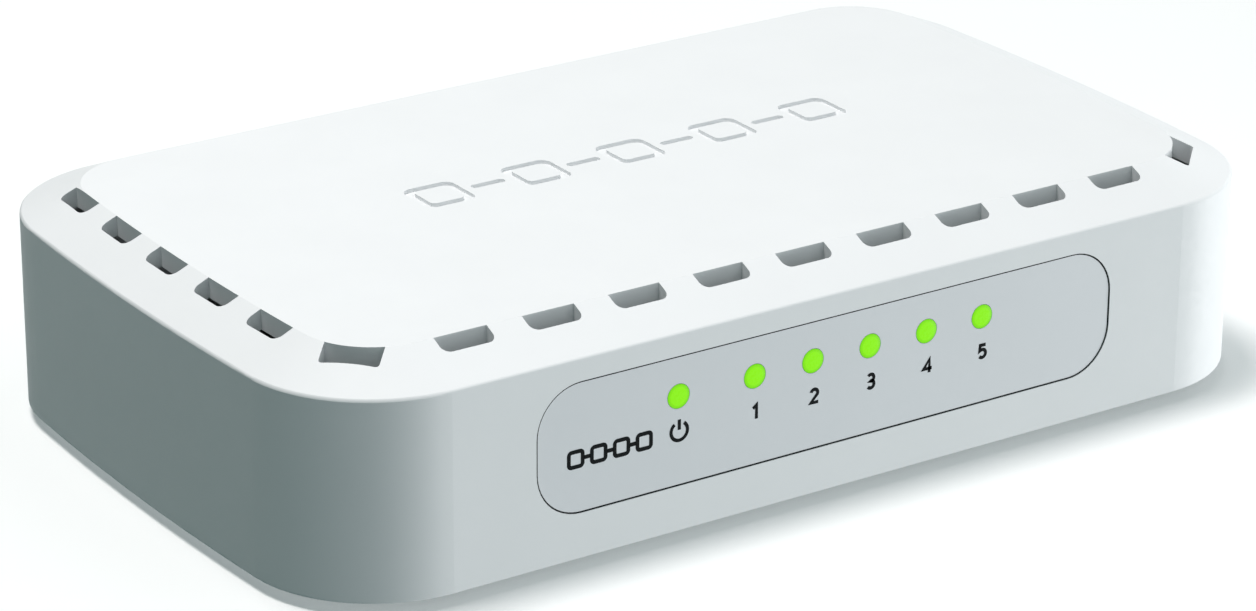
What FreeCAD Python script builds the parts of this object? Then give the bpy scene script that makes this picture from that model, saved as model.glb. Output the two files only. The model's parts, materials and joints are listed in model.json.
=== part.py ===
import FreeCAD, Part
import math
import os
import re
import Sketcher

# Desktop network switch: a moulded case around one circuit board.
# Millimetres. X is along the front, +Y points to the rear (ports), +Z up.
# The origin is on the table, under the middle of the case.

SIZES = {
    # case outline and walls
    "case_width": 120.0,
    "case_depth": 72.75,
    "side_radius": 384.0,
    "corner_radius": 14.4,
    "rim_height": 21.35,
    "crown_rise": 2.77,
    "crown_inset": 6.43,
    "wall": 2.0,
    "overrun": 1.0,
    "roof": 2.0,
    "band_wall": 2.18,
    "lower_edge_round": 0.3,
    "rim_round": 0.35,
    # vent slots in the sloped band
    "vent_width": 2.06,
    "vent_corner": 0.95,
    "front_vent_count": 9,
    "front_vent_pitch": 10.02,
    "front_vent_length": 6.0,
    "side_vent_count": 5,
    "side_vent_pitch": 9.95,
    "side_vent_length": 5.85,
    "side_vent_y": 2.42,
    "corner_vent_length": 6.0,
    "corner_vent_round": 0.4,
    # sunk emblem on the crown: a chain of square rings
    "emblem_x": 1.25,
    "emblem_y": 2.5,
    "emblem_count": 5,
    "emblem_pitch": 11.87,
    "emblem_size": 6.0,
    "emblem_stroke": 1.0,
    "emblem_round": 1.2,
    "emblem_inner_round": 0.6,
    "emblem_gap": 0.9,
    "emblem_depth": 0.4,
    # front label, measured from the lower rim of the cover
    "label_width": 71.0,
    "label_height": 14.0,
    "label_z": 11.95,
    "label_round": 5.2,
    "label_recess": 0.35,
    "label_thickness": 0.25,
    "label_gap": 0.14,
    # lamps
    "lamp_z": 14.62,
    "lamp_diameter": 2.6,
    "lamp_gap": 0.04,
    "lamp_wall_gap": 0.15,
    "power_lamp_x": -18.89,
    "port_lamp_x": -9.74,
    "lamp_pitch": 7.1,
    "lamp_edge": 2.6,
    "led_width": 1.6,
    "led_depth": 1.6,
    "led_height": 0.8,
    "led_lens_base": 1.44,
    "led_lens_top": 1.12,
    "guide_gap": 0.3,
    "mirror_step": 0.39,
    "bridge_depth": 2.0,
    "bridge_height": 3.4,
    "bridge_overhang": 2.5,
    # base plate
    "plate_thickness": 2.0,
    "plate_gap": 0.15,
    "base_vent_count": 9,
    "base_vent_pitch": 6.0,
    "base_vent_width": 2.2,
    "base_vent_length": 18.0,
    "base_vent_y": 14.0,
    "keyhole_inset": 10.0,
    "keyhole_travel": 7.0,
    "keyhole_head": 7.2,
    "keyhole_slot": 3.8,
    "rating_width": 46.0,
    "rating_depth": 22.0,
    "rating_y": -14.0,
    "rating_round": 2.0,
    "rating_recess": 0.2,
    "rating_thickness": 0.12,
    "rating_gap": 0.2,
    # rubber feet
    "foot_height": 1.2,
    "foot_recess": 0.4,
    "foot_diameter": 8.0,
    "foot_taper": 0.4,
    "foot_gap": 0.1,
    "foot_inset_x": 14.5,
    "foot_inset_y": 10.375,
    # screws and what they bite into
    "boss_inset_x": 11.0,
    "boss_inset_y": 18.375,
    "boss_diameter": 7.0,
    "boss_root": 1.0,
    "screw_diameter": 3.0,
    "screw_gap": 0.05,
    "case_screw_length": 8.0,
    "board_screw_length": 4.4,
    "tip_length": 1.0,
    "tip_diameter": 1.5,
    "head_diameter": 5.4,
    "head_height": 1.0,
    "head_gap": 0.2,
    "drive_size": 2.6,
    "drive_width": 0.6,
    "drive_depth": 0.7,
    # circuit board on its posts
    "board_side_gap": 1.5,
    "board_front_gap": 5.375,
    "board_rear_gap": 1.375,
    "board_thickness": 1.6,
    "board_corner": 1.5,
    "board_hole_gap": 0.2,
    "post_height": 2.0,
    "post_diameter": 6.0,
    "post_inset": 4.0,
    "rear_post_y": 0.0,
    "prop_x": 30.0,
    "prop_inset": 5.0,
    "prop_diameter": 4.0,
    # five network ports in one block
    "port_count": 5,
    "port_pitch": 13.97,
    "port_x": -5.5,
    "port_cell": 15.5,
    "port_height": 13.0,
    "port_depth": 21.0,
    "port_setback": 0.2,
    "window_gap": 0.3,
    "shield_thickness": 0.25,
    "shield_gap": 0.05,
    "shield_window_width": 12.4,
    "shield_window_gap": 0.3,
    "cavity_width": 11.8,
    "cavity_height": 7.0,
    "cavity_depth": 13.5,
    "cavity_cover": 1.6,
    "latch_width": 6.2,
    "latch_height": 1.7,
    "tongue_width": 3.4,
    "tongue_height": 1.0,
    "comb_width": 9.0,
    "comb_recess": 0.45,
    "comb_start": 2.4,
    "wire_count": 8,
    "wire_pitch": 1.02,
    "wire_width": 0.36,
    "wire_thickness": 0.3,
    "wire_bend_x": 3.2,
    "wire_slope": 17.0,
    "wire_beam": 8.0,
    # power inlet
    "jack_gap": 2.61,
    "jack_width": 9.0,
    "jack_height": 11.0,
    "jack_depth": 14.2,
    "jack_axis_z": 6.4,
    "jack_bore": 6.4,
    "jack_bore_depth": 10.0,
    "jack_lip": 0.5,
    "jack_step": 3.0,
    "jack_step_length": 2.1,
    "jack_pin": 2.0,
    "jack_pin_setback": 1.2,
    "pin_nose": 0.5,
    "leaf_width": 2.4,
    "leaf_thickness": 0.3,
    "leaf_groove": 0.6,
    "leaf_length": 8.0,
    "leaf_gap": 0.1,
    "leaf_bump_width": 1.44,
    "leaf_bump_length": 2.0,
    "leaf_bump_height": 0.6,
    # chips
    "lead_width": 0.4,
    "lead_reach": 1.0,
    "lead_thickness": 0.2,
    "chip_lift": 0.1,
    "chip_x": -5.0,
    "chip_y": -6.0,
    "chip_width": 14.0,
    "chip_depth": 14.0,
    "chip_height": 1.4,
    "chip_lead_pitch": 0.8,
    "chip_leads": 16,
    "pad_size": 13.0,
    "pad_thickness": 0.5,
    "sink_size": 19.0,
    "sink_base": 1.6,
    "sink_height": 8.0,
    "sink_fins": 7,
    "sink_fin": 0.9,
    "module_width": 12.0,
    "module_depth": 7.0,
    "module_height": 5.5,
    "module_lead_pitch": 1.27,
    "module_leads": 8,
    "module_gap": 1.6,
    "small_chip_width": 5.0,
    "small_chip_depth": 4.0,
    "small_chip_height": 1.7,
    "small_chip_lead_pitch": 1.27,
    "small_chip_leads": 4,
    # small parts
    "crystal_length": 11.0,
    "crystal_width": 4.6,
    "crystal_height": 3.5,
    "crystal_round": 2.07,
    "coil_size": 7.0,
    "coil_height": 4.0,
    "coil_bevel": 0.84,
    "coil_core": 4.6,
    "coil_core_step": 0.3,
    "can_diameter": 6.3,
    "can_height": 7.0,
    "can_base": 6.6,
    "can_base_height": 0.9,
    "chip_part_length": 1.6,
    "chip_part_width": 0.8,
    "resistor_height": 0.45,
    "capacitor_height": 0.8,
    "fuse_length": 3.2,
    "fuse_width": 1.6,
    "fuse_height": 0.8,
    "diode_length": 4.6,
    "diode_width": 2.6,
    "diode_height": 2.2,
}

# Places on the board of what could sit elsewhere, as (x, y)
FLASH_PLACE = ("-23", "-9")
CRYSTAL_PLACE = ("-24", "-1")
REGULATOR_PLACE = ("16", "-9")
COIL_PLACE = ("27", "-2")
CAN_PLACES = [("36", "9"), ("36", "17"), ("28", "-12")]
FUSE_PLACE = ("39", "-8")
DIODE_PLACE = ("36", "-15")
RESISTOR_ROW = ("-26", "-21", 3.2, 14)
CAPACITOR_ROWS = [("-32", "-15", 3.4, 4), ("8", "-16", 3.4, 5), ("-34", "-5", 3.4, 2)]

# Levels that many pieces share, as formulas of the sizes
BOARD_UNDER = "(foot_height+plate_thickness+post_height)"
BOARD_TOP = "(foot_height+plate_thickness+post_height+board_thickness)"
REAR_FACE = "(case_depth/2-port_setback)"
CROWN = "(rim_height+crown_rise)"
LAMP_LEVEL = "(foot_height+lamp_z)"
LABEL_FACE = "(case_depth/2-label_recess+label_thickness)"
INNER_FRONT = "(case_depth/2-wall)"
BOSS_X = "(case_width/2-boss_inset_x)"
BOSS_Y = "(case_depth/2-boss_inset_y)"
BOARD_WIDTH = f"(2*({BOSS_X}-boss_diameter/2-board_side_gap))"
BOARD_DEPTH = "(case_depth-2*wall-board_front_gap-board_rear_gap)"
BOARD_Y = "((board_front_gap-board_rear_gap)/2)"
POST_X = f"({BOARD_WIDTH}/2-post_inset)"
FRONT_POST_Y = f"({BOARD_Y}-{BOARD_DEPTH}/2+post_inset)"
POST_Y = f"((rear_post_y-{FRONT_POST_Y})/2)"
POST_MIDDLE_Y = f"((rear_post_y+{FRONT_POST_Y})/2)"
PROP_Y = f"({BOARD_Y}+{BOARD_DEPTH}/2-prop_inset)"
FOOT_X = "(case_width/2-foot_inset_x)"
FOOT_Y = "(case_depth/2-foot_inset_y)"
KEYHOLE_X = "(case_width/2-keyhole_inset)"
LED_ROW = f"({BOARD_Y}-{BOARD_DEPTH}/2+lamp_edge)"
CORNER_Y = "(case_depth/2-corner_radius)"
BOW_X = "(case_width/2-side_radius)"
CORNER_X = f"({BOW_X}+sqrt((side_radius-corner_radius)^2-{CORNER_Y}^2))"
PORT_BLOCK = "((port_count-1)*port_pitch+port_cell)"
PORT_CEILING = f"({BOARD_TOP}+port_height-cavity_cover)"
JACK_X = f"(port_x+{PORT_BLOCK}/2+shield_gap+shield_thickness+jack_gap+jack_width/2)"
SCREW_HOLE = "screw_diameter+2*screw_gap"
HALF_TURN = "180/3.14159265358979"

VECTOR = FreeCAD.Vector
ABOUT_Z = VECTOR(0, 0, 1)
ABOUT_X = VECTOR(1, 0, 0)

os.makedirs("parts", exist_ok=True)
doc = FreeCAD.newDocument("desktop_switch")
sheet = doc.addObject("Spreadsheet::Sheet", "Sizes")
for row, (size_name, size_value) in enumerate(SIZES.items(), 1):
    sheet.set(f"A{row}", size_name)
    sheet.set(f"B{row}", str(size_value))
    sheet.setAlias(f"B{row}", size_name)
doc.recompute()
NODES = []


# ---------------------------------------------------------------- helpers
def bind(item, path, formula):
    """Bind one property to a formula of the sheet's sizes."""
    def in_sheet(word):
        return "Sizes." + word.group() if word.group() in SIZES else word.group()
    item.setExpression(path, re.sub(r"[a-z]\w*", in_sheet, str(formula)))


def place(item, at, path="Placement"):
    for letter, formula in zip("xyz", at):
        bind(item, f"{path}.Base.{letter}", formula)


def node(item, label):
    """Mark a finished piece, named as its file will be."""
    item.Label = label
    if item.Label != label:
        raise RuntimeError(f"{label}: the name is taken")
    NODES.append(item)
    return item


def new_body(name, at=("0", "0", "0")):
    body = doc.addObject("PartDesign::Body", name + "_body")
    place(body, at)
    return body


def origin_part(body, role):
    return [part for part in body.Origin.OriginFeatures if part.Role == role][0]


def sketch_on(body, name, role="XY_Plane", at=("0", "0", "0"), turn=None):
    """A sketch on one of the body's own planes, moved and turned within it."""
    sketch = body.newObject("Sketcher::SketchObject", name)
    sketch.AttachmentSupport = [(origin_part(body, role), "")]
    sketch.MapMode = "FlatFace"
    if turn is not None:
        sketch.AttachmentOffset = FreeCAD.Placement(VECTOR(), FreeCAD.Rotation(ABOUT_Z, 1))
        bind(sketch, "AttachmentOffset.Rotation.Angle", turn)
    place(sketch, at, "AttachmentOffset")
    return sketch


def dimension(sketch, name, formula, kind, *where):
    index = sketch.addConstraint(Sketcher.Constraint(kind, *where))
    sketch.renameConstraint(index, name)
    bind(sketch, "Constraints." + name, formula)


def arc(x, y, radius, start, end):
    return Part.ArcOfCircle(Part.Circle(VECTOR(x, y, 0), ABOUT_Z, radius), start, end)


def line(x1, y1, x2, y2):
    return Part.LineSegment(VECTOR(x1, y1, 0), VECTOR(x2, y2, 0))


def case_outline(sketch, *insets):
    """The case's plan, moved inwards: straight front and rear, bowed sides, round corners."""
    less = sum(SIZES[inset] for inset in insets)
    inset = "(" + "+".join(insets or ("0",)) + ")"
    half_width = SIZES["case_width"] / 2 - less
    half_depth = SIZES["case_depth"] / 2 - less
    corner = SIZES["corner_radius"] - less
    side = SIZES["side_radius"] - less
    y = half_depth - corner
    bow = half_width - side
    x = bow + math.sqrt((side - corner) ** 2 - y ** 2)
    swing = math.atan2(y, x - bow)
    quarter = math.pi / 2
    sketch.addGeometry([
        line(-x, -half_depth, x, -half_depth),
        arc(x, -y, corner, -quarter, -swing),
        arc(bow, 0, side, -swing, swing),
        arc(x, y, corner, swing, quarter),
        line(x, half_depth, -x, half_depth),
        arc(-x, y, corner, quarter, math.pi - swing),
        arc(-bow, 0, side, math.pi - swing, math.pi + swing),
        arc(-x, -y, corner, math.pi + swing, 3 * quarter),
    ], False)
    for index in range(8):
        sketch.addConstraint(Sketcher.Constraint("Tangent", index, 2, (index + 1) % 8, 1))
    sketch.addConstraint(Sketcher.Constraint("Symmetric", 1, 3, 3, 3, -1))
    sketch.addConstraint(Sketcher.Constraint("Symmetric", 1, 3, 7, 3, -2))
    sketch.addConstraint(Sketcher.Constraint("Symmetric", 1, 3, 5, 3, -1, 1))
    for index in (3, 5, 7):
        sketch.addConstraint(Sketcher.Constraint("Equal", 1, index))
    sketch.addConstraint(Sketcher.Constraint("Equal", 2, 6))
    dimension(sketch, "corner", f"corner_radius-{inset}", "Radius", 1, corner)
    dimension(sketch, "side", f"side_radius-{inset}", "Radius", 2, side)
    dimension(sketch, "depth", f"case_depth-2*{inset}", "DistanceY", 0, 1, 4, 2, 2 * half_depth)
    dimension(sketch, "bow", "side_radius-case_width/2", "DistanceX", 2, 3, -1, 1, -bow)


def rounded_rectangle(sketch, width, height, radius, name=""):
    """A rectangle with round corners about the sketch's origin."""
    first = sketch.GeometryCount
    quarter = math.pi / 2
    sketch.addGeometry([
        line(-8, -5, 8, -5), arc(8, -3, 2, -quarter, 0), line(10, -3, 10, 3), arc(8, 3, 2, 0, quarter),
        line(8, 5, -8, 5), arc(-8, 3, 2, quarter, math.pi), line(-10, 3, -10, -3),
        arc(-8, -3, 2, math.pi, 3 * quarter),
    ], False)
    for index in range(8):
        sketch.addConstraint(Sketcher.Constraint("Tangent", first + index, 2, first + (index + 1) % 8, 1))
    sketch.addConstraint(Sketcher.Constraint("Symmetric", first + 1, 3, first + 3, 3, -1))
    sketch.addConstraint(Sketcher.Constraint("Symmetric", first + 1, 3, first + 7, 3, -2))
    sketch.addConstraint(Sketcher.Constraint("Symmetric", first + 1, 3, first + 5, 3, -1, 1))
    for index in (3, 5, 7):
        sketch.addConstraint(Sketcher.Constraint("Equal", first + 1, first + index))
    dimension(sketch, f"radius{name}", radius, "Radius", first + 1, 2.0)
    dimension(sketch, f"width{name}", width, "DistanceX", first + 6, 1, first + 2, 1, 20.0)
    dimension(sketch, f"height{name}", height, "DistanceY", first, 1, first + 4, 2, 10.0)


def obround(sketch, travel, width):
    """A slot along the sketch's own X axis: two lines and two half circles."""
    quarter = math.pi / 2
    sketch.addGeometry([
        line(-5, -1, 5, -1), arc(5, 0, 1, -quarter, quarter),
        line(5, 1, -5, 1), arc(-5, 0, 1, quarter, 3 * quarter),
    ], False)
    for index in range(4):
        sketch.addConstraint(Sketcher.Constraint("Tangent", index, 2, (index + 1) % 4, 1))
    sketch.addConstraint(Sketcher.Constraint("Symmetric", 1, 3, 3, 3, -1, 1))
    sketch.addConstraint(Sketcher.Constraint("PointOnObject", 1, 3, -1))
    sketch.addConstraint(Sketcher.Constraint("Equal", 1, 3))
    dimension(sketch, "radius", f"({width})/2", "Radius", 1, 1.0)
    dimension(sketch, "travel", travel, "DistanceX", 3, 3, 1, 3, 10.0)


def circle(sketch, diameter):
    sketch.addGeometry(Part.Circle(VECTOR(), ABOUT_Z, 1.0), False)
    sketch.addConstraint(Sketcher.Constraint("Coincident", 0, 3, -1, 1))
    dimension(sketch, "diameter", diameter, "Diameter", 0, 2.0)


def four_circles(sketch, x, y, diameter):
    """Equal circles at the four corners of a rectangle about the sketch's origin."""
    for right, up in ((10, 5), (-10, 5), (-10, -5), (10, -5)):
        sketch.addGeometry(Part.Circle(VECTOR(right, up, 0), ABOUT_Z, 1.0), False)
    sketch.addConstraint(Sketcher.Constraint("Symmetric", 0, 3, 1, 3, -2))
    sketch.addConstraint(Sketcher.Constraint("Symmetric", 0, 3, 3, 3, -1))
    sketch.addConstraint(Sketcher.Constraint("Symmetric", 0, 3, 2, 3, -1, 1))
    for index in (1, 2, 3):
        sketch.addConstraint(Sketcher.Constraint("Equal", 0, index))
    dimension(sketch, "diameter", diameter, "Diameter", 0, 2.0)
    dimension(sketch, "across", x, "DistanceX", -1, 1, 0, 3, 10.0)
    dimension(sketch, "along", y, "DistanceY", -1, 1, 0, 3, 5.0)


def pad(body, name, sketch, length):
    feature = body.newObject("PartDesign::Pad", name)
    feature.Refine = False
    feature.Profile = sketch
    bind(feature, "Length", length)
    return feature


def pocket(body, name, sketch, length=None, upwards=False):
    """Cut the sketch into the body, to a length or through all: down its normal, or upwards."""
    doc.recompute()
    before = body.Shape.Volume
    feature = body.newObject("PartDesign::Pocket", name)
    feature.Refine = False
    feature.Profile = sketch
    feature.Reversed = upwards
    if length is None:
        feature.Type = "ThroughAll"
    else:
        bind(feature, "Length", length)
    doc.recompute()
    if body.Shape.Volume > before - 1e-3:
        raise RuntimeError(f"{name} cuts nothing")
    return feature


def row_of(body, name, feature, direction, length, count):
    """Repeat a feature along one of the body's axes."""
    pattern = body.newObject("PartDesign::LinearPattern", name)
    pattern.Refine = False
    pattern.Originals = [feature]
    pattern.Direction = (origin_part(body, direction), [""])
    bind(pattern, "Length", length)
    bind(pattern, "Occurrences", count)
    body.Tip = pattern
    return pattern


def level_edges(feature, height):
    """Names of the feature's edges that lie flat at one height."""
    names = []
    for number, edge in enumerate(feature.Shape.Edges, 1):
        box = edge.BoundBox
        if abs(box.ZMin - height) < 1e-4 and abs(box.ZMax - height) < 1e-4:
            names.append(f"Edge{number}")
    return names


def block(name, size, at):
    """A box: its size, and the place of the middle of its underside."""
    item = doc.addObject("Part::Box", name)
    for side, formula in zip(("Length", "Width", "Height"), size):
        bind(item, side, formula)
    place(item, (f"{at[0]}-({size[0]})/2", f"{at[1]}-({size[1]})/2", at[2]))
    return item


def rod(name, diameter, length, at, along_y=False):
    """A cylinder up from a point, or from it towards +Y."""
    item = doc.addObject("Part::Cylinder", name)
    if along_y:
        item.Placement = FreeCAD.Placement(VECTOR(), FreeCAD.Rotation(ABOUT_X, -90))
    bind(item, "Radius", f"({diameter})/2")
    bind(item, "Height", length)
    place(item, at)
    return item


def taper(name, lower, upper, height, at):
    item = doc.addObject("Part::Cone", name)
    bind(item, "Radius1", f"({lower})/2")
    bind(item, "Radius2", f"({upper})/2")
    bind(item, "Height", height)
    place(item, at)
    return item


def fuse(name, *items):
    whole = doc.addObject("Part::MultiFuse", name)
    whole.Shapes = list(items)
    whole.Refine = True
    return whole


def cut(name, base, *tools):
    whole = doc.addObject("Part::Cut", name)
    whole.Base = base
    whole.Tool = tools[0] if len(tools) == 1 else fuse(name + "_tools", *tools)
    whole.Refine = True
    return whole


def copies(name, master, places):
    """One compound of the same piece at many places."""
    links = []
    for number, at in enumerate(places, 1):
        link = doc.addObject("App::Link", f"{name}_{number}")
        link.LinkedObject = master
        link.LinkTransform = True
        place(link, at)
        links.append(link)
    group = doc.addObject("Part::Compound", name)
    group.Links = links
    return group


def soften_uprights(name, base, size, kind):
    """Round or bevel the upright edges of a plain box."""
    doc.recompute()
    item = doc.addObject(kind, name)
    item.Base = base
    uprights = [number for number, edge in enumerate(base.Shape.Edges, 1) if edge.BoundBox.ZLength > 1e-3]
    item.Edges = [(number, SIZES[size], SIZES[size]) for number in uprights]
    return item


def lamp_places():
    """The x of the power lamp and of each port's lamp."""
    ports = [f"port_lamp_x+{number}*lamp_pitch" for number in range(SIZES["port_count"])]
    return ["power_lamp_x"] + ports


def port_places():
    middle = (SIZES["port_count"] - 1) / 2
    return [f"port_x+({number - middle})*port_pitch" for number in range(SIZES["port_count"])]


def corners(x, y, z, middle_y="0"):
    return [(f"{across}*{x}", f"{along}*{y}+{middle_y}", z) for across in (1, -1) for along in (1, -1)]


# ---------------------------------------------------------------- top cover
def vent(body, name, at, turn, reach, length, rounding, bend=None):
    """One slot whose inner edge lies on the crease; its outer corners are round.

    Where the crease is an arc about the sketch's origin, bend is the radius it starts with."""
    sketch = sketch_on(body, name + "_profile", at=at + ("0",), turn=turn)
    quarter = math.pi / 2
    start = 8.0 if bend is None else bend
    swing = math.asin(3 / start)
    near = start * math.cos(swing)
    inner = line(near, -3, near, 3) if bend is None else arc(0, 0, start, -swing, swing)
    sketch.addGeometry([
        inner, line(near, 3, start + 1, 3), arc(start + 1, 2, 1, 0, quarter),
        line(start + 2, 2, start + 2, -2), arc(start + 1, -2, 1, -quarter, 0), line(start + 1, -3, near, -3),
    ], False)
    sketch.addConstraint(Sketcher.Constraint("Coincident", 0, 2, 1, 1))
    sketch.addConstraint(Sketcher.Constraint("Tangent", 1, 2, 2, 2))
    sketch.addConstraint(Sketcher.Constraint("Tangent", 2, 1, 3, 1))
    sketch.addConstraint(Sketcher.Constraint("Tangent", 3, 2, 4, 2))
    sketch.addConstraint(Sketcher.Constraint("Tangent", 4, 1, 5, 1))
    sketch.addConstraint(Sketcher.Constraint("Coincident", 5, 2, 0, 1))
    sketch.addConstraint(Sketcher.Constraint("Horizontal", 1))
    sketch.addConstraint(Sketcher.Constraint("Horizontal", 5))
    sketch.addConstraint(Sketcher.Constraint("Vertical", 3))
    sketch.addConstraint(Sketcher.Constraint("Equal", 2, 4))
    dimension(sketch, "length", length, "DistanceY", 0, 1, 0, 2, 6.0)
    dimension(sketch, "half", f"({length})/2", "DistanceY", -1, 1, 0, 2, 3.0)
    dimension(sketch, "rounding", rounding, "Radius", 2, 1.0)
    dimension(sketch, "outer", f"{reach}+vent_width", "DistanceX", -1, 1, 3, 1, start + 2)
    if bend is None:
        sketch.addConstraint(Sketcher.Constraint("Vertical", 0))
        dimension(sketch, "crease", reach, "DistanceX", -1, 1, 0, 1, start)
    else:
        sketch.addConstraint(Sketcher.Constraint("Coincident", 0, 3, -1, 1))
        dimension(sketch, "crease", reach, "Radius", 0, start)
    return sketch, pocket(body, name, sketch, upwards=True)


def cover_vents(body):
    first_x = "-(front_vent_count-1)/2*front_vent_pitch"
    crease_y = "(case_depth/2-crown_inset)"
    length, rounding = "front_vent_length", "vent_corner"
    _, slot = vent(body, "front_vent", (first_x, "0"), "-90", crease_y, length, rounding)
    row_of(body, "front_vents", slot, "X_Axis", "(front_vent_count-1)*front_vent_pitch", "front_vent_count")
    # the bowed left side only
    reach = "(side_radius-crown_inset)"
    half_row = "(side_vent_count-1)/2*side_vent_pitch"
    start = f"180-(side_vent_y+{half_row})/{reach}*{HALF_TURN}"
    bend = SIZES["side_radius"] - SIZES["crown_inset"]
    at = (f"-{BOW_X}", "0")
    sketch, slot = vent(body, "side_vent", at, start, reach, "side_vent_length", rounding, bend)
    fan = body.newObject("PartDesign::PolarPattern", "side_vents")
    fan.Refine = False
    fan.Originals = [slot]
    fan.Axis = (sketch, ["N_Axis"])
    bind(fan, "Angle", f"2*{half_row}/{reach}*{HALF_TURN}")
    bind(fan, "Occurrences", "side_vent_count")
    body.Tip = fan
    crease_corner = "(corner_radius-crown_inset)"
    length, rounding = "corner_vent_length", "corner_vent_round"
    bend = SIZES["corner_radius"] - SIZES["crown_inset"]
    for side, sign, turn in (("right", "1", "-45"), ("left", "-1", "-135")):
        centre = (f"{sign}*{CORNER_X}", f"-{CORNER_Y}")
        vent(body, f"corner_vent_{side}", centre, turn, crease_corner, length, rounding, bend)


def emblem(body):
    """A sunk chain of square rings with a short bar between each two."""
    half_row = "(emblem_count-1)/2*emblem_pitch"
    rings = sketch_on(body, "ring_profile", at=(f"emblem_x-{half_row}", "emblem_y", CROWN))
    rounded_rectangle(rings, "emblem_size", "emblem_size", "emblem_round", "_outer")
    inner = "emblem_size-2*emblem_stroke"
    rounded_rectangle(rings, inner, inner, "emblem_inner_round", "_inner")
    ring = pocket(body, "ring", rings, "emblem_depth")
    row_of(body, "rings", ring, "X_Axis", "(emblem_count-1)*emblem_pitch", "emblem_count")
    bars = sketch_on(body, "bar_profile", at=(f"emblem_x-{half_row}+emblem_pitch/2", "emblem_y", CROWN))
    obround(bars, "emblem_pitch-emblem_size-2*emblem_gap-emblem_stroke", "emblem_stroke")
    bar = pocket(body, "bar", bars, "emblem_depth")
    row_of(body, "bars", bar, "X_Axis", "(emblem_count-2)*emblem_pitch", "emblem_count-1")


def top_cover():
    body = new_body("top_cover", ("0", "0", "foot_height"))
    plan = sketch_on(body, "case_plan")
    case_outline(plan)
    solid = pad(body, "case_block", plan, CROWN)
    doc.recompute()

    band = body.newObject("PartDesign::Chamfer", "sloped_band")
    band.Base = (solid, level_edges(solid, SIZES["rim_height"] + SIZES["crown_rise"]))
    band.ChamferType = "Two distances"
    bind(band, "Size", "crown_rise")
    bind(band, "Size2", "crown_inset")
    doc.recompute()
    rim = body.newObject("PartDesign::Fillet", "rim_edge")
    rim.Base = (band, level_edges(band, SIZES["rim_height"]))
    bind(rim, "Radius", "rim_round")
    doc.recompute()
    lower = body.newObject("PartDesign::Fillet", "lower_edge")
    lower.Base = (rim, level_edges(rim, 0.0))
    bind(lower, "Radius", "lower_edge_round")
    doc.recompute()

    inside = sketch_on(body, "inside_plan")
    case_outline(inside, "wall")
    hollow = pocket(body, "hollow", inside, f"{CROWN}-roof", upwards=True)
    ceiling = SIZES["rim_height"] + SIZES["crown_rise"] - SIZES["roof"]
    inner_band = body.newObject("PartDesign::Chamfer", "inner_band")
    inner_band.Base = (hollow, level_edges(hollow, ceiling))
    inner_band.ChamferType = "Two distances"
    inner_rise = "(crown_rise*(1-wall/crown_inset)+band_wall-roof)"
    bind(inner_band, "Size", inner_rise)
    bind(inner_band, "Size2", f"{inner_rise}*crown_inset/crown_rise")
    doc.recompute()

    bosses = sketch_on(body, "boss_plan", at=("0", "0", "plate_thickness"))
    four_circles(bosses, BOSS_X, BOSS_Y, "boss_diameter")
    pad(body, "bosses", bosses, f"{CROWN}-roof-plate_thickness+boss_root")
    pilots = sketch_on(body, "pilot_plan", at=("0", "0", "plate_thickness"))
    four_circles(pilots, BOSS_X, BOSS_Y, SCREW_HOLE)
    pocket(body, "pilots", pilots, "case_screw_length", upwards=True)
    cover_vents(body)
    emblem(body)

    recess = sketch_on(body, "label_recess_plan", "XZ_Plane", ("0", "label_z", "case_depth/2"))
    rounded_rectangle(recess, "label_width", "label_height", "label_round")
    pocket(body, "label_recess", recess, "label_recess")
    for number, x in enumerate(lamp_places()):
        hole = sketch_on(body, f"lamp_hole_plan_{number}", "XZ_Plane", (x, "lamp_z", "case_depth/2"))
        circle(hole, "lamp_diameter+2*lamp_wall_gap")
        pocket(body, f"lamp_hole_{number}", hole, "wall+overrun")

    behind = "-(case_depth/2-wall-overrun)"
    sill = "(plate_thickness+post_height+board_thickness)"
    rim_gap = "shield_gap+shield_thickness+window_gap"
    for name, x, width, height in (
        ("port", "port_x", f"{PORT_BLOCK}+2*({rim_gap})", f"port_height+{rim_gap}+window_gap"),
        ("jack", JACK_X, "jack_width+2*window_gap", "jack_height+2*window_gap"),
    ):
        middle = f"{sill}-window_gap+({height})/2"
        window = sketch_on(body, f"{name}_window_plan", "XZ_Plane", (x, middle, behind))
        rounded_rectangle(window, width, height, "window_gap")
        pocket(body, f"{name}_window", window, "wall+2*overrun")
    node(body, "top_cover")


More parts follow.
